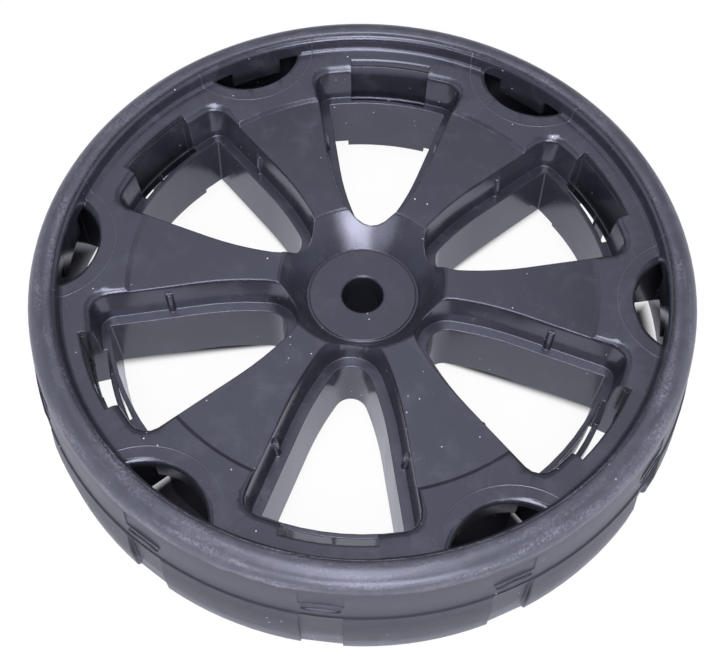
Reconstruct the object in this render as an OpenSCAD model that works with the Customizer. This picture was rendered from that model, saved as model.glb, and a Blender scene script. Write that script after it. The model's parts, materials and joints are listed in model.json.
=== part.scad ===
// Six-spoke moulded wheel, lying on its back face: a stiff black disc with a dished hub and six
// windows, and a soft tread moulded over its rim. Z is the axle, z = 0 is the plane it rests on.

/* [Wheel] */
// Diameter over the tread blocks
wheel_d = 203; // [202:0.5:206]
// Width from the resting plane to the crown of the tyre
wheel_w = 45; // [43:0.5:50]
// Diameter of the axle bore
bore_d = 12.7; // [8:0.1:16]

/* [Rim and face] */
// Inner diameter of the rim's lip
lip_d = 178.4; // [177:0.2:180]
// Depth of the flange below the tyre's crown, where it meets the spoke faces
flange_drop = 7.3; // [6.5:0.1:8.5]
// Rise of the flange from there out to the lip
flange_rise = 1.2; // [0:0.1:1.6]
// Step down from the flange to the spoke faces
panel_step = 0.95; // [0.4:0.05:1.4]
// Diameter of the arc where the spoke faces begin
panel_d = 140.2; // [136:0.2:146]
// Depth of the hub's flat below the crown
hub_drop = 19.25; // [17:0.25:22]
// Diameter of the hub's flat
hub_d = 32.6; // [30:0.2:34]
// Diameter of the dish at the spoke faces
dish_d = 48.4; // [46:0.2:52]
// Wall thickness of the moulding
wall = 2.5; // [2:0.1:3]

/* [Windows] */
// Half angle between a window's straight sides
side_angle = 14.6; // [13.5:0.1:15]
// Radius of a window's outer edge
window_r = 76.9; // [75:0.1:78]
// Radius of the round at a window's hub end
nose_r = 6.4; // [5.5:0.1:7]
// Width of the ledge round a window
ledge = 3.2; // [2.4:0.1:3.6]
// Depth of the ledge below the crown
ledge_drop = 19.15; // [17:0.25:22]
// Height of a window's wall above the resting plane
skirt_z = 6.9; // [3:0.1:12]

/* [Slots and finger holes] */
// Half angle of a clip slot
slot_angle = 9.07; // [7:0.1:11]
// Radius of a slot's outer edge
slot_r = 84.3; // [83.5:0.1:85]
// Radius of the arc that bounds a finger hole
finger_r = 17.2; // [15:0.2:18.5]
// Reach of a finger hole in from the lip
finger_reach = 8.8; // [6:0.1:9]

/* [Tread] */
// Width of a groove across the tread
groove_w = 12; // [8:0.5:16]
// Depth of a groove between the tread blocks
groove_depth = 1.25; // [0.6:0.05:1.5]

/* [Hidden] */
$fn = 180;

spokes = 6;
pitch = 360 / spokes;
// The turned faces join at this angle, in the clear between a spoke's walls and a recess
seam = 10;
tyre_r = wheel_d / 2;
lip_r = lip_d / 2;

// Heights of the face
flange_z = wheel_w - flange_drop;
panel_z = flange_z - panel_step;
hub_z = wheel_w - hub_drop;
ledge_z = wheel_w - ledge_drop;

// Where the lip meets the tyre, and the tyre's shoulder
joint_r = lip_r + 1.1;
crown_r = 5.3;
crown_at = joint_r + 2.2;
shoulder_r = crown_at + crown_r;

// The rim is an upturned channel: the lip's wall, a crown, and an outer wall that carries the tyre
rim_wall = 1.7;
lip_wall = 2;
joint_drop = 2.6;
lip_round = 2;
lip_z = wheel_w - joint_drop;
seat_r = shoulder_r - 1.2;
seat_foot_r = seat_r + 1.4;
seat_z = lip_z - 2.8;
rim_foot_z = 1.2;
rim_rib_r = seat_r - 0.2;

// Hub tube
tube_r = bore_d / 2 + 5.6;
tube_foot_z = 1.5;
bore_chamfer = 0.4;

// Heights of the tread
tread_step_z = 0.565 * wheel_w;
block_z = 0.31 * wheel_w;
foot_round = 3.2;

// A window's straight sides pass this far outside the axis, and bend in from side_bend outward
side_out = 0.34;
side_bend = 48.5;
side_round = 89;
sharp = 0.4;

// Height of the flange at a radius
function flange_at(r) =
    flange_z + flange_rise * max(0, r - panel_d / 2) / (lip_r - 1.2 - panel_d / 2);

function polar(r, a) = [r * cos(a), r * sin(a)];
function arc(c, r, a0, a1, n) = [for (i = [0 : n]) c + polar(r, a0 + (a1 - a0) * i / n)];
function flipped(points) = [for (i = [len(points) - 1 : -1 : 0]) [points[i][0], -points[i][1]]];

// Half of a window's outline about the X axis, from the hub end to the outer arc. Every point lies
// off mm outside the edge of the opening (off_out at the outer arc), with corners of radius corner.
function window_half(off, off_out, corner) =
    let (turn = [[cos(side_angle), -sin(side_angle)], [sin(side_angle), cos(side_angle)]],
         side_c = turn * [side_bend, side_out - side_round],
         nose_c = [side_c[0] - sqrt(pow(side_round - nose_r, 2) - pow(side_c[1], 2)), 0],
         meet = atan2(nose_c[1] - side_c[1], nose_c[0] - side_c[0]),
         edge_r = window_r + off_out,
         corner_v = side_out + off - corner,
         corner_u = sqrt(pow(edge_r - corner, 2) - pow(corner_v, 2)),
         corner_c = turn * [corner_u, corner_v],
         corner_a = side_angle + atan2(corner_v, corner_u))
    concat(arc(nose_c, nose_r + off, 180, meet, 5),
           arc(side_c, side_round + off, meet - 2, side_angle + 90, 4),
           arc(corner_c, corner, side_angle + 90, corner_a, 4),
           [for (i = [1 : 3]) polar(edge_r, corner_a * (1 - i / 3.5))]);

// The whole outline; the hub end lies on the axis and is not repeated
function window_outline(off, off_out, corner) =
    let (half = window_half(off, off_out, corner), other = flipped(half))
    concat(half, [for (i = [0 : len(other) - 2]) other[i]]);

// Face of the disc from the hub to the lip, as [radius, height]
function face_line() = concat(
    [[0, hub_z], [hub_d / 2, hub_z], [hub_d / 2 + 0.1, hub_z - 0.35], [hub_d / 2 + 0.8, hub_z - 0.35]],
    arc([dish_d / 2 + 1.6, panel_z - 1.5], 1.5, 148, 90, 4),
    [[panel_d / 2 - 0.8, panel_z], [panel_d / 2 + 0.3, flange_z]],
    arc([lip_r - 1.2, flange_z + flange_rise + 1.2], 1.2, -90, 0, 4),
    arc([lip_r + lip_round, lip_z], lip_round, 180, 180 - acos(1 - 1.1 / lip_round), 5));

// Outside of the rim from the joint on the lip down to its foot, shared with the tyre
function seat_line() = [
    [joint_r, lip_z], [joint_r + 1.7, lip_z - 1], [seat_r - 1.2, lip_z - 1.5],
    [seat_r, seat_z], [seat_foot_r, rim_foot_z]];

// Skin, rim and hub tube in one profile
module face_shell() {
    cone_run = (dish_d - hub_d) / 2;
    under_r = dish_d / 2 + wall * 0.7;
    rotate([0, 0, seam])
        rotate_extrude()
            polygon(concat(
                face_line(),
                seat_line(),
                [[seat_foot_r - rim_wall, rim_foot_z], [seat_r - rim_wall, seat_z - 1.2],
                 [seat_r - rim_wall - 0.7, lip_z - 3.8], [lip_r + lip_wall + 0.7, lip_z - 3.8],
                 [lip_r + lip_wall, seat_z - 1.2], [lip_r + lip_wall, flange_at(lip_r) - wall],
                 [panel_d / 2, flange_z - wall],
                 [panel_d / 2 - 1.2, panel_z - wall], [under_r, panel_z - wall],
                 [under_r - cone_run * 0.9, hub_z - wall - 0.6], [tube_r, hub_z - wall - 0.6],
                 [tube_r - 0.5, tube_foot_z], [0, tube_foot_z]]));
}

// Air above the face, which trims whatever is added below it
module face_air() {
    top = wheel_w + 20;
    rotate([0, 0, seam])
        rotate_extrude()
            polygon(concat(face_line(), [[lip_r + 1, top], [0, top]]));
}

// Closed tub round one window: the walls of its recess, its ledge and the skirt below
module window_tub() {
    tub_wall = 2;
    linear_extrude_at(ledge_z - wall + 0.3, panel_z - 0.5)
        polygon(window_outline(ledge + 0.9 + tub_wall, ledge + 0.6 + tub_wall, 6));
    linear_extrude_at(skirt_z, ledge_z - 1)
        polygon(window_outline(1.3, 1.2, 2));
}

module linear_extrude_at(z0, z1) {
    translate([0, 0, z0])
        linear_extrude(z1 - z0) children();
}

// Cutter for one window, as a loft: the drafted opening, the flat ledge, then the drafted recess
// wall with its rounded shoulder. Each ring is [height, side offset, outer offset, corner radius];
// the shoulder's rings rise with the flange.
module window_cut() {
    draft = 0.066;
    rings = [
        [-1, -draft * (ledge_z + 1), -0.4 * draft * (ledge_z + 1), sharp],
        [ledge_z, 0, 0, sharp],
        [ledge_z, ledge, ledge - 0.4, 4.4],
        [flange_z - 2.1, ledge + 0.85, ledge + 0.55, 5.2],
        [flange_z - 1.1, ledge + 1.15, ledge + 0.9, 5.5],
        [flange_z - 0.4, ledge + 1.8, ledge + 1.7, 6.1],
        [flange_z + 0.1, ledge + 2.9, ledge + 3.1, 7],
        [wheel_w + 1, ledge + 2.9, ledge + 3.1, 7]];
    loft([for (g = rings) [for (p = window_outline(g[1], g[2], g[3]))
        [p[0], p[1], g[0] + (abs(g[0] - flange_z) < 3 ? flange_at(norm(p)) - flange_z : 0)]]]);
}

// Solid through clockwise rings of equal length, listed from the lowest to the highest
module loft(rings) {
    n = len(rings[0]);
    m = len(rings);
    points = [for (ring = rings) for (p = ring) p];
    sides = [for (k = [0 : m - 2]) for (i = [0 : n - 1])
        let (j = (i + 1) % n)
        each [[k * n + i, (k + 1) * n + j, (k + 1) * n + i], [k * n + i, k * n + j, (k + 1) * n + j]]];
    foot = [for (i = [n - 1 : -1 : 0]) i];
    head = [for (i = [0 : n - 1]) (m - 1) * n + i];
    polyhedron(points, concat([foot, head], sides));
}

// Sector between two radii about the X axis
module sector(r0, r1, half_angle) {
    rotate([0, 0, -half_angle])
        polygon(concat(arc([0, 0], r1, 0, 2 * half_angle, 16), arc([0, 0], r0, 2 * half_angle, 0, 16)));
}

// Slot for a clip at the outer end of a window, through the flange, the recess wall and the ledge,
// with its outer edge rounded at the flange
module slot_cut() {
    round = 0.8;
    inner_r = window_r + 1.4;
    top_z = flange_at(slot_r + round);
    foot_z = ledge_z - wall - 2.6;
    rotate([0, 0, -slot_angle])
        rotate_extrude(angle = 2 * slot_angle)
            polygon(concat(
                [[inner_r, foot_z], [slot_r, foot_z]],
                arc([slot_r + round, top_z - round], round, 180, 90, 3),
                [[slot_r + round, wheel_w], [inner_r, wheel_w]]));
}

// Finger hole against the rim at the outer end of a spoke, with a rounded edge at the flange
module finger_cut() {
    round = 1.4;
    centre = lip_r - finger_reach + finger_r;
    top_z = flange_at(lip_r - finger_reach) + 0.1;
    tip_z = flange_at(lip_r) - 0.6;
    inside_r = lip_r + lip_wall + 0.5;
    intersection() {
        translate([centre, 0, 0])
            rotate_extrude()
                polygon(concat(
                    [[0, panel_z - 20], [finger_r, panel_z - 20]],
                    arc([finger_r + round, top_z - round], round, 180, 90, 4),
                    [[finger_r + round, wheel_w], [0, wheel_w]]));
        cylinder(h = wheel_w, r = lip_r - 0.05);
    }
    // The two tips are open through the lip's wall, beside the tab
    intersection() {
        translate([centre, 0, panel_z - 20])
            cylinder(h = tip_z - panel_z + 20, r = finger_r);
        difference() {
            cylinder(h = tip_z, r = inside_r);
            linear_extrude_at(-1, wheel_w)
                sector(60, seat_r + 5, tab_angle - 0.25);
        }
    }
}

// Walls under a finger hole: a tab that takes the lip's wall deeper, a collar round the hole's
// hub side, and an arc of wall that stands under the spoke
tab_angle = 5.65;
module finger_walls() {
    centre = lip_r - finger_reach + finger_r;
    linear_extrude_at(flange_z - 5.4, flange_z - 1)
        sector(lip_r - 1, lip_r + lip_wall - 0.3, tab_angle);
    intersection() {
        translate([centre, 0, flange_z - 7.4])
            cylinder(h = 6.4, r = finger_r + 1.8);
        linear_extrude_at(0, wheel_w)
            sector(window_r + 1, lip_r - 2, tab_angle + 0.4);
    }
    linear_extrude_at(rim_foot_z + 0.4, panel_z - 1)
        sector(window_r, window_r + 1.9, 9.3);
}

// Walls outside a window: a rib beside each end of the clip slot and one along each side of the
// recess, a deep arc behind the slot with a fin across it, and a low bar between the end ribs
module slot_walls() {
    for (side = [-1, 1]) {
        rotate([0, 0, side * slot_angle])
            translate([window_r + 0.6, side * 0.85 - 0.75, skirt_z + 0.6])
                cube([rim_rib_r - window_r - 0.6, 1.5, panel_z - skirt_z - 1.6]);
        rotate([0, 0, side * side_angle])
            translate([window_r - 4, side * (ledge + 1.75) - 0.8, skirt_z + 1.2])
                cube([rim_rib_r - window_r + 3.7, 1.6, panel_z - skirt_z - 2.2]);
    }
    linear_extrude_at(ledge_z - 8.4, panel_z - 1.2)
        sector(slot_r - 0.6, slot_r + 1.8, slot_angle + 0.8);
    translate([slot_r - 0.9, -0.55, rim_foot_z + 1])
        cube([5.1, 1.1, ledge_z - rim_foot_z - 6.5]);
    linear_extrude_at(rim_foot_z + 0.4, skirt_z + 4)
        sector(window_r + 2, window_r + 3.7, slot_angle + 0.8);
}

// Thin rib under a spoke, out from the hub tube
module spoke_rib() {
    translate([tube_r - 2, -0.8, skirt_z + 0.6])
        cube([window_r - tube_r + 3, 1.6, panel_z - skirt_z - 1.6]);
}

// Small half-round columns on both side walls of a recess, leaning with the wall's draft
module recess_nubs() {
    for (side = [-1, 1])
        rotate([0, 0, side * side_angle])
            translate([58, side * (side_out + ledge), ledge_z - 0.5])
                rotate([-5 * side, 0, 0])
                    cylinder(h = flange_z - ledge_z - 3.6, r = 1.1);
}

module wheel_body() {
    color("#33363d")
        difference() {
            union() {
                difference() {
                    union() {
                        face_shell();
                        for (k = [0 : spokes - 1]) {
                            rotate([0, 0, pitch * (k + 0.5)]) {
                                window_tub();
                                slot_walls();
                            }
                            rotate([0, 0, pitch * k]) {
                                finger_walls();
                                spoke_rib();
                            }
                        }
                    }
                    face_air();
                    for (k = [0 : spokes - 1]) {
                        rotate([0, 0, pitch * (k + 0.5)]) {
                            window_cut();
                            slot_cut();
                        }
                        rotate([0, 0, pitch * k])
                            finger_cut();
                    }
                }
                for (k = [0 : spokes - 1])
                    rotate([0, 0, pitch * (k + 0.5)])
                        recess_nubs();
            }
            translate([0, 0, -1])
                cylinder(h = wheel_w, d = bore_d);
            translate([0, 0, hub_z - bore_chamfer])
                cylinder(h = 2 * bore_chamfer, d1 = bore_d, d2 = bore_d + 4 * bore_chamfer);
        }
}

// Tyre: a rounded shoulder, a smooth tapered band, then twelve blocks parted by grooves
module tyre() {
    band_r = tyre_r - 1.8;
    color("#3c3f45")
        difference() {
            rotate_extrude()
                polygon(concat(
                    [[seat_foot_r, rim_foot_z], [seat_foot_r, 0.5], [seat_foot_r + 0.5, 0]],
                    arc([tyre_r - foot_round, foot_round], foot_round, -90, 0, 6),
                    [[tyre_r, block_z], [tyre_r - 1.3, tread_step_z], [band_r, tread_step_z + 0.3],
                     [band_r - 0.8, tread_step_z + 6.2], [shoulder_r + 0.55, wheel_w - 8.2]],
                    arc([crown_at, wheel_w - crown_r], crown_r, 5, 180 - acos(2.2 / crown_r), 10),
                    [for (p = seat_line()) if (p[0] < seat_foot_r) p]));
            for (k = [0 : 2 * spokes - 1])
                rotate([0, 0, k * pitch / 2])
                    groove_cut(band_r);
        }
}

// One groove: deep across the blocks, shallow on the band above, and a short dimple between
module groove_cut(band_r) {
    side_cut(groove_w, [[tyre_r - groove_depth - 0.8, tread_step_z + 0.1],
                        [tyre_r - groove_depth, -1],
                        [tyre_r + 5, -1],
                        [tyre_r + 5, tread_step_z + 0.1]]);
    side_cut(groove_w, [[shoulder_r - 0.35, wheel_w - 6.4],
                        [band_r - 1.2, tread_step_z + 6],
                        [tyre_r + 5, tread_step_z + 6],
                        [tyre_r + 5, wheel_w - 6.4]]);
    side_cut(groove_w * 0.67, [[band_r - 1.2, tread_step_z + 3.4],
                               [band_r - 1.2, tread_step_z + 4.6],
                               [tyre_r, tread_step_z + 4.6],
                               [tyre_r, tread_step_z + 3.4]]);
}

// Prism of a [radius, height] outline, width mm across
module side_cut(width, outline) {
    rotate([90, 0, 0])
        translate([0, 0, -width / 2])
            linear_extrude(width) polygon(outline);
}

wheel_body();
tyre();
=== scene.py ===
import json
import math

import bpy
from bpy.props import FloatProperty, FloatVectorProperty, IntProperty, PointerProperty
from bpy.types import Operator, Panel, PropertyGroup
from mathutils import Matrix, Vector

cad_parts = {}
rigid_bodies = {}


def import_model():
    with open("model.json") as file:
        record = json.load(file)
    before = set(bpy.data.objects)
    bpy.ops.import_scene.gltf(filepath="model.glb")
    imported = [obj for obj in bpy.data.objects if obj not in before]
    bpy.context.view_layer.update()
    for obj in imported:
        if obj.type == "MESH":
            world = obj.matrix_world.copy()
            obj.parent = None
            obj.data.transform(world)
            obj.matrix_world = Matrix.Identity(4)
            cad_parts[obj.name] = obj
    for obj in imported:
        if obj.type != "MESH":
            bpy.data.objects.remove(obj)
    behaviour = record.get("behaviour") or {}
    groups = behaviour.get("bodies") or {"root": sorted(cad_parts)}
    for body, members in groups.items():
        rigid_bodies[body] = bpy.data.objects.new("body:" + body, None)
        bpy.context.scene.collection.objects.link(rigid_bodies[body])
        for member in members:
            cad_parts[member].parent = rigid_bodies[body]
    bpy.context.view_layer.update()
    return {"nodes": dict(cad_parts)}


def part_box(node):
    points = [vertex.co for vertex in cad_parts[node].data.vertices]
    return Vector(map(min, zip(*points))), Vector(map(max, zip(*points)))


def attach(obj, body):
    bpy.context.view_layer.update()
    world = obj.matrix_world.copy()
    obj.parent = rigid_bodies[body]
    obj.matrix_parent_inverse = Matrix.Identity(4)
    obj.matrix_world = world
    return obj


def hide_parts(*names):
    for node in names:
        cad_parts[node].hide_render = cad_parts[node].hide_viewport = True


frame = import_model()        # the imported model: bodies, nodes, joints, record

bl_info = {
    "name": "Spoked plastic wheel",
    "version": (1, 0, 0),
    "blender": (4, 5, 0),
    "location": "3D View > Sidebar > Wheel",
    "description": "Finishes a moulded six-spoke wheel and its tyre, and lights it on a pale floor",
    "category": "Object",
}

MM = 0.001
TYRE_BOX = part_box("tyre")
TYRE_R = TYRE_BOX[1].x
CROWN_Z = TYRE_BOX[1].z             # top of the tyre's shoulder
STEP_Z = 0.565 * CROWN_Z            # ledge between the tread blocks and the band above them
BAND_R = TYRE_R - 1.8 * MM          # the smooth band above the ledge
LIP_R = 89.2 * MM                   # inside of the rim's lip
JOINT_R = LIP_R + 1.1 * MM          # where the tyre meets the lip
FLANGE_Z = CROWN_Z - 7.3 * MM       # face of the flange between the finger holes
HOLE_R = 17.2 * MM                  # a finger hole's radius
HOLE_REACH = 8.8 * MM               # how far a finger hole reaches in from the lip
SPOKES = 6


def linear(text):
    """An sRGB hex colour as a linear RGBA colour."""
    parts = [int(text[i:i + 2], 16) / 255 for i in (1, 3, 5)]
    return [c / 12.92 if c <= 0.04045 else ((c + 0.055) / 1.055) ** 2.4 for c in parts] + [1.0]


class WheelFinish(PropertyGroup):
    plastic: FloatVectorProperty(
        name="Plastic", description="Colour of the moulded wheel", subtype="COLOR", size=4,
        min=0, max=1, default=linear("#25262c"))
    rubber: FloatVectorProperty(
        name="Rubber", description="Colour of the tyre", subtype="COLOR", size=4,
        min=0, max=1, default=linear("#292a30"))
    dust: FloatVectorProperty(
        name="Dust", description="Colour of the dust and of scuffed material", subtype="COLOR",
        size=4, min=0, max=1, default=linear("#8c8c96"))
    # Sets the dust and scuffs, and also how pale the rubber's shoulder is painted, a painted sheen
    # on top of the dust
    dust_and_sheen: FloatProperty(
        name="Dustiness", description="How much dust and scuffing the wheel carries",
        subtype="FACTOR", min=0, max=1, default=0.5)
    edge: FloatProperty(
        name="Edge radius", description="Radius that a moulded edge seems to have",
        subtype="DISTANCE", unit="LENGTH", min=0, max=0.002, default=0.0005)
    crease: FloatProperty(
        name="Smoothing angle", description="Faces that meet at less than this angle look smooth",
        subtype="ANGLE", unit="ROTATION", min=0, max=math.pi, default=math.radians(32))


class WheelTrim(PropertyGroup):
    flash: FloatProperty(
        name="Joint flash", description="Height of the torn skin where the tyre meets the lip",
        subtype="DISTANCE", unit="LENGTH", min=0, max=0.001, default=0.00025)
    parting: FloatProperty(
        name="Parting line", description="How far the line round the tread stands out",
        subtype="DISTANCE", unit="LENGTH", min=0, max=0.001, default=0.00003)
    mark_length: FloatProperty(
        name="Mould mark", description="Length of the oval mark beside each tread dimple",
        subtype="DISTANCE", unit="LENGTH", min=0.002, max=0.02, default=0.0105)
    marks: IntProperty(
        name="Marks", description="Number of mould marks round the tread", min=1, max=24,
        default=12)
    ring: FloatProperty(
        name="Witness line", description="Distance of the fine line from a finger hole's edge",
        subtype="DISTANCE", unit="LENGTH", min=0, max=0.01, default=0.005)


class WheelStage(PropertyGroup):
    floor: FloatVectorProperty(
        name="Floor", description="Colour of the floor", subtype="COLOR", size=4,
        min=0, max=1, default=linear("#f4f4f6"))
    sky: FloatProperty(
        name="Sky", description="Strength of the even light all round", min=0, max=2,
        default=0.3)
    light: FloatVectorProperty(
        name="Light", description="Colour of the sky and the lamps", subtype="COLOR", size=4,
        min=0, max=1, default=linear("#f3f3ff"))
    front_lamp: FloatProperty(
        name="Front lamp", description="Power of the low lamp in front", subtype="POWER",
        unit="POWER", min=0, max=100, default=5.5)
    core_lamp: FloatProperty(
        name="Core lamp", description="Power of the small lamp before the front lamp",
        subtype="POWER", unit="POWER", min=0, max=100, default=5.8)
    high_lamp: FloatProperty(
        name="High lamp", description="Power of the lamp high in front", subtype="POWER",
        unit="POWER", min=0, max=100, default=13.5)
    top_lamp: FloatProperty(
        name="Top lamp", description="Power of the wide lamp above", subtype="POWER",
        unit="POWER", min=0, max=100, default=1.6)
    lens: FloatProperty(
        name="Lens", description="Focal length of the camera in millimetres", min=10, max=300,
        default=54.47)


# ---------------------------------------------------------------- helpers

def add(tree, kind, inputs=None, **settings):
    """Adds a node with its settings; an input is a value or another node's output."""
    made = tree.nodes.new(kind)
    for name, value in settings.items():
        setattr(made, name, value)
    for name, value in (inputs or {}).items():
        if isinstance(value, bpy.types.NodeSocket):
            tree.links.new(value, made.inputs[name])
        else:
            made.inputs[name].default_value = value
    return made


def spoke_angle(tree, parts):
    """The angle from the nearest spoke's centre line, for a place split into X, Y and Z."""
    half = math.pi / SPOKES
    angle = add(tree, "ShaderNodeMath", {0: parts.outputs["Y"], 1: parts.outputs["X"]},
                operation="ARCTAN2").outputs["Value"]
    return add(tree, "ShaderNodeMath", {0: angle, 1: half, 2: -half},
               operation="WRAP").outputs["Value"]


def alone():
    """Leaves nothing selected, in object mode."""
    if bpy.context.object and bpy.context.object.mode != "OBJECT":
        bpy.ops.object.mode_set(mode="OBJECT")
    bpy.ops.object.select_all(action="DESELECT")


def pick(piece):
    alone()
    piece.select_set(True)
    bpy.context.view_layer.objects.active = piece


def settle(piece, name, material):
    """Names a finished piece, applies its place, gives it its finish and puts it on the wheel."""
    pick(piece)
    bpy.ops.object.transform_apply(location=True, rotation=True, scale=True)
    piece.name = name
    piece.data.name = name
    piece.data.materials.clear()
    piece.data.materials.append(material)
    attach(piece, "root")
    return piece


def fresh_material(name):
    old = bpy.data.materials.get(name)
    if old:
        bpy.data.materials.remove(old)
    made = bpy.data.materials.new(name)
    made.use_nodes = True
    made.node_tree.nodes.clear()
    return made


def skin(node_name, name, material, crease):
    """A smooth-shaded copy of a CAD node, which it replaces."""
    pick(frame["nodes"][node_name])
    bpy.ops.object.duplicate(linked=False)
    piece = bpy.context.object
    bpy.ops.object.parent_clear(type="CLEAR_KEEP_TRANSFORM")
    for key in list(piece.keys()):
        del piece[key]
    bpy.ops.object.mode_set(mode="EDIT")
    bpy.ops.mesh.select_all(action="SELECT")
    bpy.ops.mesh.customdata_custom_splitnormals_clear()
    bpy.ops.mesh.remove_doubles(threshold=0.005 * MM)
    bpy.ops.mesh.dissolve_degenerate(threshold=0.005 * MM)
    bpy.ops.object.mode_set(mode="OBJECT")
    bpy.ops.object.shade_smooth_by_angle(angle=crease, keep_sharp_edges=False)
    even = piece.modifiers.new("even", "WEIGHTED_NORMAL")
    even.keep_sharp = True
    even.weight = 60
    bpy.ops.object.modifier_apply(modifier=even.name)
    settle(piece, name, material)
    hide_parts(node_name)
    return piece


# ---------------------------------------------------------------- materials

def polypropylene(finish, trim):
    """Moulded charcoal polypropylene: a fine spark-eroded grain gives it a broad soft sheen, flow
    and sink marks ripple it a little, and dust, rubs and a few pale specks lie on it."""
    made = fresh_material("moulded_polypropylene")
    t = made.node_tree
    place = add(t, "ShaderNodeTexCoord").outputs["Object"]
    # Cloudy flow marks, 30 mm across
    flow = add(t, "ShaderNodeTexNoise", {"Vector": place, "Scale": 1 / (30 * MM), "Detail": 4.0,
                                         "Roughness": 0.6, "Distortion": 0.6}).outputs["Fac"]
    # Handling smears, 9 mm across, broken up
    smear = add(t, "ShaderNodeTexNoise", {"Vector": place, "Scale": 1 / (9 * MM), "Detail": 6.0,
                                          "Roughness": 0.6, "Distortion": 0.3}).outputs["Fac"]
    smear = add(t, "ShaderNodeMapRange", {"Value": smear, "From Min": 0.46, "From Max": 0.8},
                interpolation_type="SMOOTHSTEP").outputs["Result"]
    # Rubs: short fine lines, 14 mm long and 0.5 mm wide
    turned = add(t, "ShaderNodeMapping", {"Vector": place, "Rotation": (0.0, 0.0, 0.9),
                                          "Scale": (1 / (14 * MM), 1 / (0.5 * MM), 1 / (8 * MM))})
    rub = add(t, "ShaderNodeTexNoise", {"Vector": turned.outputs["Vector"], "Scale": 1.0,
                                        "Detail": 2.0, "Roughness": 0.5}).outputs["Fac"]
    rub = add(t, "ShaderNodeMapRange", {"Value": rub, "From Min": 0.66, "From Max": 0.74},
              interpolation_type="SMOOTHSTEP").outputs["Result"]
    rub = add(t, "ShaderNodeMath", {0: rub, 1: smear}, operation="MULTIPLY").outputs["Value"]
    # Specks: four cells in ten of a 3.5 mm grid hold a grain 0.4 mm across
    cell = add(t, "ShaderNodeTexVoronoi", {"Vector": place, "Scale": 1 / (3.5 * MM),
                                           "Randomness": 1.0})
    grain = add(t, "ShaderNodeMapRange", {"Value": cell.outputs["Distance"], "From Min": 0.085,
                                          "From Max": 0.04},
                interpolation_type="SMOOTHSTEP").outputs["Result"]
    chosen = add(t, "ShaderNodeSeparateColor", {"Color": cell.outputs["Color"]})
    chosen = add(t, "ShaderNodeMath", {0: chosen.outputs["Red"], 1: 0.62},
                 operation="GREATER_THAN").outputs["Value"]
    speck = add(t, "ShaderNodeMath", {0: grain, 1: chosen}, operation="MULTIPLY").outputs["Value"]
    speck = add(t, "ShaderNodeMath", {0: speck, 1: flow}, operation="MULTIPLY").outputs["Value"]
    speck = add(t, "ShaderNodeMath", {0: speck, 1: 1.5}, operation="MULTIPLY").outputs["Value"]

    # Witness line of the mould insert round each finger hole
    parts = add(t, "ShaderNodeSeparateXYZ", {"Vector": place})
    folded = spoke_angle(t, parts)
    flat = add(t, "ShaderNodeCombineXYZ", {"X": parts.outputs["X"], "Y": parts.outputs["Y"]})
    radius = add(t, "ShaderNodeVectorMath", {0: flat.outputs["Vector"]},
                 operation="LENGTH").outputs["Value"]
    cos = add(t, "ShaderNodeMath", {0: folded}, operation="COSINE").outputs["Value"]
    sin = add(t, "ShaderNodeMath", {0: folded}, operation="SINE").outputs["Value"]
    u = add(t, "ShaderNodeMath", {0: radius, 1: cos}, operation="MULTIPLY").outputs["Value"]
    v = add(t, "ShaderNodeMath", {0: radius, 1: sin}, operation="MULTIPLY").outputs["Value"]
    centre = LIP_R - HOLE_REACH + HOLE_R
    uv = add(t, "ShaderNodeCombineXYZ", {"X": u, "Y": v})
    off = add(t, "ShaderNodeVectorMath", {0: uv.outputs["Vector"], 1: (centre, 0.0, 0.0)},
              operation="DISTANCE").outputs["Value"]
    off = add(t, "ShaderNodeMath", {0: off, 1: HOLE_R + trim.ring},
              operation="SUBTRACT").outputs["Value"]
    off = add(t, "ShaderNodeMath", {0: off}, operation="ABSOLUTE").outputs["Value"]
    line = add(t, "ShaderNodeMapRange", {"Value": off, "From Min": 0.28 * MM,
                                         "From Max": 0.08 * MM},
               interpolation_type="SMOOTHSTEP").outputs["Result"]
    high = add(t, "ShaderNodeMath", {0: parts.outputs["Z"], 1: FLANGE_Z - 0.4 * MM},
               operation="GREATER_THAN").outputs["Value"]
    line = add(t, "ShaderNodeMath", {0: line, 1: high}, operation="MULTIPLY").outputs["Value"]

    tone = add(t, "ShaderNodeHueSaturation", {"Color": list(finish.plastic), "Value": 1.35})
    colour = add(t, "ShaderNodeMix", {"Factor": flow, "A": list(finish.plastic),
                                      "B": tone.outputs["Color"]}, data_type="RGBA")
    film = add(t, "ShaderNodeMath", {0: smear, 1: 0.16 * finish.dust_and_sheen},
               operation="MULTIPLY").outputs["Value"]
    colour = add(t, "ShaderNodeMix", {"Factor": film, "A": colour.outputs["Result"],
                                      "B": list(finish.dust)}, data_type="RGBA")
    marks = add(t, "ShaderNodeMath", {0: rub, 1: 0.5 * finish.dust_and_sheen},
                operation="MULTIPLY").outputs["Value"]
    faint = add(t, "ShaderNodeMath", {0: line, 1: 0.12}, operation="MULTIPLY").outputs["Value"]
    marks = add(t, "ShaderNodeMath", {0: marks, 1: faint}, operation="MAXIMUM").outputs["Value"]
    colour = add(t, "ShaderNodeMix", {"Factor": marks, "A": colour.outputs["Result"],
                                      "B": list(finish.dust)}, data_type="RGBA")
    colour = add(t, "ShaderNodeMix", {"Factor": speck, "A": colour.outputs["Result"],
                                      "B": linear("#dcdcde")}, data_type="RGBA")

    rough = add(t, "ShaderNodeMapRange", {"Value": flow, "From Min": 0.3, "From Max": 0.7,
                                          "To Min": 0.22, "To Max": 0.3}).outputs["Result"]
    rough = add(t, "ShaderNodeMath", {0: smear, 1: 0.14, 2: rough},
                operation="MULTIPLY_ADD").outputs["Value"]
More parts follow.
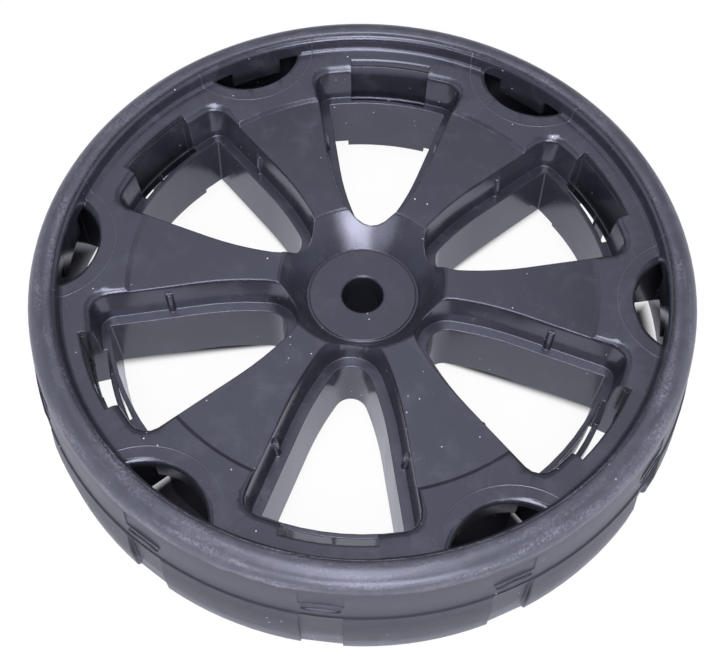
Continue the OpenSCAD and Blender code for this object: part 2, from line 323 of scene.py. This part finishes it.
    # Walls drawn off polished cores are smoother than the grained face
    normal = add(t, "ShaderNodeNewGeometry").outputs["Normal"]
    facing = add(t, "ShaderNodeSeparateXYZ", {"Vector": normal}).outputs["Z"]
    facing = add(t, "ShaderNodeMath", {0: facing}, operation="ABSOLUTE").outputs["Value"]
    drawn = add(t, "ShaderNodeMapRange", {"Value": facing, "From Max": 0.5, "To Min": 0.65,
                                          "To Max": 1.0}).outputs["Result"]
    rough = add(t, "ShaderNodeMath", {0: rough, 1: drawn}, operation="MULTIPLY").outputs["Value"]

    # Grain of 0.5 mm, drawn coarser than the real 0.1 mm so that it shows
    pebble = add(t, "ShaderNodeTexNoise", {"Vector": place, "Scale": 1 / (0.5 * MM),
                                           "Detail": 3.0}).outputs["Fac"]
    ripple = add(t, "ShaderNodeTexNoise", {"Vector": place, "Scale": 1 / (22 * MM),
                                           "Detail": 1.0}).outputs["Fac"]
    soft = add(t, "ShaderNodeBevel", {"Radius": finish.edge}, samples=6).outputs["Normal"]
    wavy = add(t, "ShaderNodeBump", {"Height": ripple, "Strength": 0.25, "Distance": 0.5 * MM,
                                     "Normal": soft}).outputs["Normal"]
    ridge = add(t, "ShaderNodeBump", {"Height": line, "Strength": 0.4, "Distance": 0.15 * MM,
                                      "Normal": wavy}).outputs["Normal"]
    fine = add(t, "ShaderNodeBump", {"Height": pebble, "Strength": 0.12, "Distance": 0.05 * MM,
                                     "Normal": ridge}).outputs["Normal"]
    shader = add(t, "ShaderNodeBsdfPrincipled", {
        "Base Color": colour.outputs["Result"], "Roughness": rough, "IOR": 1.49,
        "Specular IOR Level": 1.0, "Specular Tint": linear("#eeefff"), "Normal": fine})
    add(t, "ShaderNodeOutputMaterial", {"Surface": shader.outputs["BSDF"]})
    return made


def rubber(finish):
    """Moulded thermoplastic rubber: dull where the mould was sand-blasted on the shoulder, with a
    bloom of dust and scuffs that is laid on paler than the dust alone, so that on the shoulder it
    is partly a painted sheen, and smoother with a soft sheen down the tread."""
    made = fresh_material("moulded_rubber")
    t = made.node_tree
    place = add(t, "ShaderNodeTexCoord").outputs["Object"]
    parts = add(t, "ShaderNodeSeparateXYZ", {"Vector": place})
    # Streaks run round the tyre: 25 mm long and 3 mm across
    flat = add(t, "ShaderNodeCombineXYZ", {"X": parts.outputs["X"], "Y": parts.outputs["Y"]})
    heading = add(t, "ShaderNodeVectorMath", {0: flat.outputs["Vector"]}, operation="NORMALIZE")
    radius = add(t, "ShaderNodeVectorMath", {0: flat.outputs["Vector"]},
                 operation="LENGTH").outputs["Value"]
    across = add(t, "ShaderNodeMath", {0: parts.outputs["Z"], 1: radius},
                 operation="SUBTRACT").outputs["Value"]
    across = add(t, "ShaderNodeMath", {0: across, 1: 1 / (3 * MM)},
                 operation="MULTIPLY").outputs["Value"]
    lap = add(t, "ShaderNodeVectorMath", {0: heading.outputs["Vector"],
                                          "Scale": TYRE_R / (25 * MM)}, operation="SCALE")
    shift = add(t, "ShaderNodeCombineXYZ", {"Z": across})
    lap = add(t, "ShaderNodeVectorMath", {0: lap.outputs["Vector"], 1: shift.outputs["Vector"]},
              operation="ADD").outputs["Vector"]
    streak = add(t, "ShaderNodeTexNoise", {"Vector": lap, "Scale": 1.0, "Detail": 5.0,
                                           "Roughness": 0.62, "Distortion": 0.3}).outputs["Fac"]
    blotch = add(t, "ShaderNodeTexNoise", {"Vector": place, "Scale": 1 / (7 * MM), "Detail": 6.0,
                                           "Roughness": 0.7}).outputs["Fac"]
    fleck = add(t, "ShaderNodeTexNoise", {"Vector": place, "Scale": 1 / (0.8 * MM),
                                          "Detail": 4.0, "Roughness": 0.7}).outputs["Fac"]

    # The dull shoulder ends in a ragged line where the smoother tread begins
    edge = add(t, "ShaderNodeMath", {0: blotch, 1: 4.5 * MM, 2: parts.outputs["Z"]},
               operation="MULTIPLY_ADD").outputs["Value"]
    dull = add(t, "ShaderNodeMapRange", {"Value": edge, "From Min": CROWN_Z - 3.6 * MM,
                                         "From Max": CROWN_Z - 2.6 * MM},
               interpolation_type="SMOOTHSTEP").outputs["Result"]
    foot = add(t, "ShaderNodeMapRange", {"Value": edge, "From Min": 13 * MM,
                                         "From Max": 7 * MM},
               interpolation_type="SMOOTHSTEP").outputs["Result"]
    bloom = add(t, "ShaderNodeMapRange", {"Value": streak, "From Min": 0.42, "From Max": 0.72},
                interpolation_type="SMOOTHSTEP").outputs["Result"]
    flecks = add(t, "ShaderNodeMapRange", {"Value": fleck, "From Min": 0.42,
                                           "From Max": 0.66}).outputs["Result"]
    patch = add(t, "ShaderNodeMapRange", {"Value": blotch, "From Min": 0.45, "From Max": 0.65},
                interpolation_type="SMOOTHSTEP").outputs["Result"]
    worn = add(t, "ShaderNodeMath", {0: dull, 1: foot}, operation="MAXIMUM").outputs["Value"]
    film = add(t, "ShaderNodeMath", {0: bloom, 1: flecks}, operation="MULTIPLY").outputs["Value"]
    film = add(t, "ShaderNodeMath", {0: patch, 1: 0.12, 2: film},
               operation="MULTIPLY_ADD").outputs["Value"]
    # An even pale base on the dull zones: partly dust, partly a painted sheen that lightens the
    # shoulder
    film = add(t, "ShaderNodeMath", {0: film, 1: 0.25}, operation="ADD").outputs["Value"]
    film = add(t, "ShaderNodeMath", {0: film, 1: worn}, operation="MULTIPLY").outputs["Value"]
    film = add(t, "ShaderNodeMath", {0: film, 1: 1.0 * finish.dust_and_sheen},
               operation="MULTIPLY").outputs["Value"]
    # Specks: one cell in five of a 4 mm grid holds a grain
    cell = add(t, "ShaderNodeTexVoronoi", {"Vector": place, "Scale": 1 / (4 * MM)})
    speck = add(t, "ShaderNodeMapRange", {"Value": cell.outputs["Distance"], "From Min": 0.1,
                                          "From Max": 0.05},
                interpolation_type="SMOOTHSTEP").outputs["Result"]
    chosen = add(t, "ShaderNodeSeparateColor", {"Color": cell.outputs["Color"]})
    chosen = add(t, "ShaderNodeMath", {0: chosen.outputs["Green"], 1: 0.82},
                 operation="GREATER_THAN").outputs["Value"]
    speck = add(t, "ShaderNodeMath", {0: speck, 1: chosen}, operation="MULTIPLY").outputs["Value"]
    film = add(t, "ShaderNodeMath", {0: film, 1: speck}, operation="MAXIMUM").outputs["Value"]
    colour = add(t, "ShaderNodeMix", {"Factor": film, "A": list(finish.rubber),
                                      "B": list(finish.dust)}, data_type="RGBA")

    rough = add(t, "ShaderNodeMapRange", {"Value": worn, "To Min": 0.34,
                                          "To Max": 0.3}).outputs["Result"]
    rough = add(t, "ShaderNodeMath", {0: blotch, 1: 0.08, 2: rough},
                operation="MULTIPLY_ADD").outputs["Value"]
    soft = add(t, "ShaderNodeBevel", {"Radius": finish.edge * 2}, samples=8).outputs["Normal"]
    lumps = add(t, "ShaderNodeBump", {"Height": blotch, "Strength": 0.35, "Distance": 0.25 * MM,
                                      "Normal": soft}).outputs["Normal"]
    fine = add(t, "ShaderNodeBump", {"Height": fleck, "Strength": 0.3, "Distance": 0.06 * MM,
                                     "Normal": lumps}).outputs["Normal"]
    # The blocks are dulled by the ground, the band and the shoulder keep more of their gloss
    gloss = add(t, "ShaderNodeMapRange", {"Value": edge, "From Min": STEP_Z - 2 * MM,
                                          "From Max": STEP_Z + 6 * MM, "To Min": 0.22,
                                          "To Max": 0.6}).outputs["Result"]
    shader = add(t, "ShaderNodeBsdfPrincipled", {
        "Base Color": colour.outputs["Result"], "Roughness": rough, "IOR": 1.51,
        "Specular IOR Level": gloss, "Specular Tint": linear("#eeefff"), "Normal": fine})
    add(t, "ShaderNodeOutputMaterial", {"Surface": shader.outputs["BSDF"]})
    return made


# ---------------------------------------------------------------- pieces

class WHEEL_OT_moulding(Operator):
    """Finish the moulded wheel"""
    bl_idname = "wheel.moulding"
    bl_label = "Moulded wheel"

    def execute(self, context):
        scene = context.scene
        skin("wheel_body", "wheel_moulding",
             polypropylene(scene.wheel_finish, scene.wheel_trim), scene.wheel_finish.crease)
        return {"FINISHED"}


class WHEEL_OT_tyre(Operator):
    """Finish the tyre moulded over the rim"""
    bl_idname = "wheel.tyre"
    bl_label = "Tyre"

    def execute(self, context):
        finish = context.scene.wheel_finish
        skin("tyre", "tyre_moulding", rubber(finish), 2.5 * finish.crease)
        return {"FINISHED"}


def ragged_ring(radius, height, rise, steps, seed, wall):
    """A thin upright ring whose upper edge is torn; it stands at height and is rise tall."""
    alone()
    bpy.ops.mesh.primitive_circle_add(vertices=steps, radius=radius, location=(0, 0, height))
    piece = bpy.context.object
    bpy.ops.object.mode_set(mode="EDIT")
    bpy.ops.mesh.select_all(action="SELECT")
    bpy.ops.mesh.extrude_edges_move(TRANSFORM_OT_translate={"value": (0, 0, rise)})
    bpy.ops.transform.vertex_random(offset=rise * 0.7, uniform=0, normal=0, seed=seed)
    bpy.ops.mesh.select_all(action="SELECT")
    bpy.ops.mesh.normals_make_consistent(inside=False)
    bpy.ops.object.mode_set(mode="OBJECT")
    thick = piece.modifiers.new("thick", "SOLIDIFY")
    thick.thickness = wall
    thick.offset = 0
    bpy.ops.object.modifier_apply(modifier=thick.name)
    return piece


class WHEEL_OT_joint_flash(Operator):
    """Add the torn skin where the tyre meets the lip"""
    bl_idname = "wheel.joint_flash"
    bl_label = "Joint flash"

    def execute(self, context):
        rise = context.scene.wheel_trim.flash
        piece = ragged_ring(JOINT_R + 0.1 * MM, CROWN_Z - 0.55 * MM, rise, 760, 3, 0.3 * MM)
        settle(piece, "joint_flash", bpy.data.materials["moulded_rubber"])
        return {"FINISHED"}


class WHEEL_OT_parting_line(Operator):
    """Add the parting line round the tread"""
    bl_idname = "wheel.parting_line"
    bl_label = "Parting line"

    def execute(self, context):
        out = context.scene.wheel_trim.parting
        alone()
        bpy.ops.mesh.primitive_torus_add(
            major_segments=540, minor_segments=6, major_radius=BAND_R - 0.1 * MM,
            minor_radius=out + 0.1 * MM, location=(0, 0, STEP_Z + 0.35 * MM))
        piece = context.object
        bpy.ops.object.mode_set(mode="EDIT")
        bpy.ops.transform.vertex_random(offset=out * 0.5, uniform=0, normal=0, seed=5)
        bpy.ops.object.mode_set(mode="OBJECT")
        bpy.ops.object.shade_smooth()
        settle(piece, "parting_line", bpy.data.materials["moulded_rubber"])
        return {"FINISHED"}


class WHEEL_OT_mould_marks(Operator):
    """Add the oval marks round the tread dimples"""
    bl_idname = "wheel.mould_marks"
    bl_label = "Mould marks"

    def execute(self, context):
        trim = context.scene.wheel_trim
        alone()
        reach = BAND_R - 0.2 * MM
        bpy.ops.mesh.primitive_torus_add(
            major_segments=32, minor_segments=6, major_radius=trim.mark_length / 2,
            minor_radius=0.11 * MM, location=(reach, 0, STEP_Z + 4 * MM),
            rotation=(0, math.radians(90), 0))
        first = context.object
        bpy.ops.object.mode_set(mode="EDIT")
        bpy.ops.mesh.select_all(action="SELECT")
        bpy.ops.transform.resize(value=(1, 1, 0.32), orient_type="GLOBAL")
        bpy.ops.object.mode_set(mode="OBJECT")
        bpy.ops.object.shade_smooth()
        material = bpy.data.materials["moulded_rubber"]
        settle(first, "mould_mark_01", material)
        for k in range(1, trim.marks):
            pick(first)
            bpy.ops.object.duplicate(linked=False)
            piece = context.object
            bpy.ops.object.mode_set(mode="EDIT")
            bpy.ops.mesh.select_all(action="SELECT")
            bpy.ops.transform.rotate(value=-math.tau * k / trim.marks, orient_axis="Z",
                                     center_override=(0, 0, 0))
            bpy.ops.object.mode_set(mode="OBJECT")
            settle(piece, f"mould_mark_{k + 1:02d}", material)
        return {"FINISHED"}


def seen_by(tree, *kinds):
    """1 for the rays of the named kinds, and a second value: 1 for the camera's alone."""
    path = add(tree, "ShaderNodeLightPath")
    seen = path.outputs[kinds[0]]
    for kind in kinds[1:]:
        seen = add(tree, "ShaderNodeMath", {0: seen, 1: path.outputs[kind]},
                   operation="MAXIMUM").outputs["Value"]
    return seen, path.outputs["Is Camera Ray"]


def pale_floor_with_painted_shadow(stage):
    """A white floor to the eye and in reflections. The rest of its light is real, so it keeps the
    wheel's shadow. Under the spokes and the hub a shadow is painted on: there it is dark grey and
    gives off no white."""
    made = fresh_material("pale_floor_with_painted_shadow")
    t = made.node_tree
    seen, by_eye = seen_by(t, "Is Camera Ray", "Is Glossy Ray", "Is Transmission Ray")
    place = add(t, "ShaderNodeTexCoord").outputs["Object"]
    parts = add(t, "ShaderNodeSeparateXYZ", {"Vector": place})
    angle = add(t, "ShaderNodeMath", {0: spoke_angle(t, parts)},
                operation="ABSOLUTE").outputs["Value"]
    radius = add(t, "ShaderNodeVectorMath", {0: place}, operation="LENGTH").outputs["Value"]
    between = add(t, "ShaderNodeMapRange", {"Value": angle, "From Min": math.radians(12),
                                            "From Max": math.radians(15.5)},
                  interpolation_type="SMOOTHSTEP")
    past_hub = add(t, "ShaderNodeMapRange", {"Value": radius, "From Min": 12 * MM,
                                             "From Max": 22 * MM},
                   interpolation_type="SMOOTHSTEP")
    outside = add(t, "ShaderNodeMapRange", {"Value": radius, "From Min": TYRE_R - 9 * MM,
                                            "From Max": TYRE_R - 3 * MM},
                  interpolation_type="SMOOTHSTEP")
    # clear is 0 under the spokes and the hub, where a shadow is painted on the floor, and 1 where
    # the floor is open
    clear = add(t, "ShaderNodeMath", {0: between.outputs["Result"],
                                      1: past_hub.outputs["Result"]}, operation="MULTIPLY")
    clear = add(t, "ShaderNodeMath", {0: clear.outputs["Value"],
                                      1: outside.outputs["Result"]},
                operation="MAXIMUM").outputs["Value"]
    # No white glow where the shadow is painted
    share = add(t, "ShaderNodeMath", {0: seen, 1: clear}, operation="MULTIPLY").outputs["Value"]
    share = add(t, "ShaderNodeMath", {0: share, 1: 0.93}, operation="MULTIPLY").outputs["Value"]
    tint = add(t, "ShaderNodeMix", {"Factor": by_eye, "A": list(stage.light),
                                    "B": (1, 1, 1, 1)}, data_type="RGBA")
    # Painted shadow: the floor is dark grey under the spokes and the hub
    floor_and_painted_shadow = add(t, "ShaderNodeMix", {"Factor": clear, "A": linear("#505057"),
                                     "B": list(stage.floor)}, data_type="RGBA")
    matt = add(t, "ShaderNodeBsdfDiffuse", {"Color": floor_and_painted_shadow.outputs["Result"]})
    glow = add(t, "ShaderNodeEmission", {"Color": tint.outputs["Result"], "Strength": 1.0})
    both = add(t, "ShaderNodeMixShader", {0: share, 1: matt.outputs["BSDF"],
                                          2: glow.outputs["Emission"]})
    add(t, "ShaderNodeOutputMaterial", {"Surface": both.outputs["Shader"]})
    return made


def even_sky(stage):
    """White to the eye. Its light is even, and brighter to the left and right, where the walls of
    the room would be."""
    world = bpy.data.worlds.new("even_sky")
    world.use_nodes = True
    world.node_tree.nodes.clear()
    t = world.node_tree
    seen, _ = seen_by(t, "Is Camera Ray", "Is Transmission Ray")
    ray = add(t, "ShaderNodeTexCoord").outputs["Generated"]
    side = add(t, "ShaderNodeSeparateXYZ", {"Vector": ray}).outputs["X"]
    side = add(t, "ShaderNodeMath", {0: side}, operation="ABSOLUTE").outputs["Value"]
    side = add(t, "ShaderNodeMapRange", {"Value": side, "From Min": 0.55, "From Max": 0.9,
                                         "To Min": stage.sky, "To Max": 3 * stage.sky},
               interpolation_type="SMOOTHSTEP").outputs["Result"]
    strength = add(t, "ShaderNodeMapRange", {"Value": seen, "To Min": side, "To Max": 1.0})
    tint = add(t, "ShaderNodeMix", {"Factor": seen, "A": list(stage.light),
                                    "B": (1, 1, 1, 1)}, data_type="RGBA")
    back = add(t, "ShaderNodeBackground", {"Color": tint.outputs["Result"],
                                           "Strength": strength.outputs["Result"]})
    add(t, "ShaderNodeOutputWorld", {"Surface": back.outputs["Background"]})
    return world


def add_lamp(name, colour, power, size, place, aim):
    """A rectangular lamp at a place, turned to aim at a point."""
    alone()
    bpy.ops.object.light_add(type="AREA", location=place)
    lamp = bpy.context.object
    lamp.name = name
    lamp.data.shape = "RECTANGLE"
    lamp.data.size, lamp.data.size_y = size
    lamp.data.energy = power
    lamp.data.color = colour[:3]
    look = Vector(place) - Vector(aim)
    lamp.rotation_euler = look.to_track_quat("Z", "Y").to_euler()


def add_camera(lens):
    """The camera, high in front of the wheel and a little to its right."""
    bpy.ops.object.camera_add()
    camera = bpy.context.object
    camera.name = "camera"
    right = Vector((0.99375, 0.11132, 0.00847))
    up = Vector((-0.10089, 0.86309, 0.4949))
    back = Vector((0.04779, -0.49269, 0.8689))
    turn = Matrix((right, up, back)).transposed().to_4x4()
    camera.matrix_world = Matrix.Translation((0.01648, -0.17601, 0.31020)) @ turn
    camera.data.lens = lens
    camera.data.sensor_width = 36
    camera.data.clip_start = 0.01
    return camera


class WHEEL_OT_stage(Operator):
    """Add the floor, the lamps, the sky and the camera"""
    bl_idname = "wheel.stage"
    bl_label = "Stage"

    def execute(self, context):
        scene = context.scene
        stage = scene.wheel_stage
        scene.view_settings.view_transform = "Standard"
        alone()
        bpy.ops.mesh.primitive_plane_add(size=6, location=(0, 0, 0))
        floor = context.object
        floor.name = "floor"
        floor.data.materials.append(pale_floor_with_painted_shadow(stage))
        scene.world = even_sky(stage)
        for name, power, size, place, aim in (
                ("front_lamp", stage.front_lamp, (1.6, 0.32), (0.05, -1.1, 0.36), (0, 0, 0.02)),
                ("core_lamp", stage.core_lamp, (0.6, 0.32), (0.24, -1.02, 0.33), (0, 0, 0.02)),
                ("high_lamp", stage.high_lamp, (0.42, 1.05), (0.02, -0.4, 1.05), (0, 0, 0.03)),
                ("top_lamp", stage.top_lamp, (0.8, 0.9), (-0.12, 0.45, 1.2), (0, 0, 0.03))):
            add_lamp(name, stage.light, power, size, place, aim)
        scene.camera = add_camera(stage.lens)
        return {"FINISHED"}


class VIEW3D_PT_wheel(Panel):
    """Sizes, finishes and pieces of the wheel"""
    bl_idname = "VIEW3D_PT_wheel"
    bl_label = "Spoked wheel"
    bl_space_type = "VIEW_3D"
    bl_region_type = "UI"
    bl_category = "Wheel"

    def draw(self, context):
        scene = context.scene
        for title, group in (("Finish", scene.wheel_finish), ("Trim", scene.wheel_trim),
                             ("Stage", scene.wheel_stage)):
            box = self.layout.box()
            box.label(text=title)
            for name in group.__annotations__:
                box.prop(group, name)
        for step in STEPS:
            self.layout.operator(step.bl_idname)


STEPS = (WHEEL_OT_moulding, WHEEL_OT_tyre, WHEEL_OT_joint_flash, WHEEL_OT_parting_line,
         WHEEL_OT_mould_marks, WHEEL_OT_stage)
GROUPS = (WheelFinish, WheelTrim, WheelStage)
CLASSES = GROUPS + STEPS + (VIEW3D_PT_wheel,)


def register():
    for c in CLASSES:
        bpy.utils.register_class(c)
    bpy.types.Scene.wheel_finish = PointerProperty(type=WheelFinish)
    bpy.types.Scene.wheel_trim = PointerProperty(type=WheelTrim)
    bpy.types.Scene.wheel_stage = PointerProperty(type=WheelStage)


def unregister():
    del bpy.types.Scene.wheel_finish, bpy.types.Scene.wheel_trim, bpy.types.Scene.wheel_stage
    for c in reversed(CLASSES):
        bpy.utils.unregister_class(c)


def main():
    register()
    bpy.ops.wheel.moulding()
    bpy.ops.wheel.tyre()
    bpy.ops.wheel.joint_flash()
    bpy.ops.wheel.parting_line()
    bpy.ops.wheel.mould_marks()
    bpy.ops.wheel.stage()


if __name__ == "__main__":
    main()
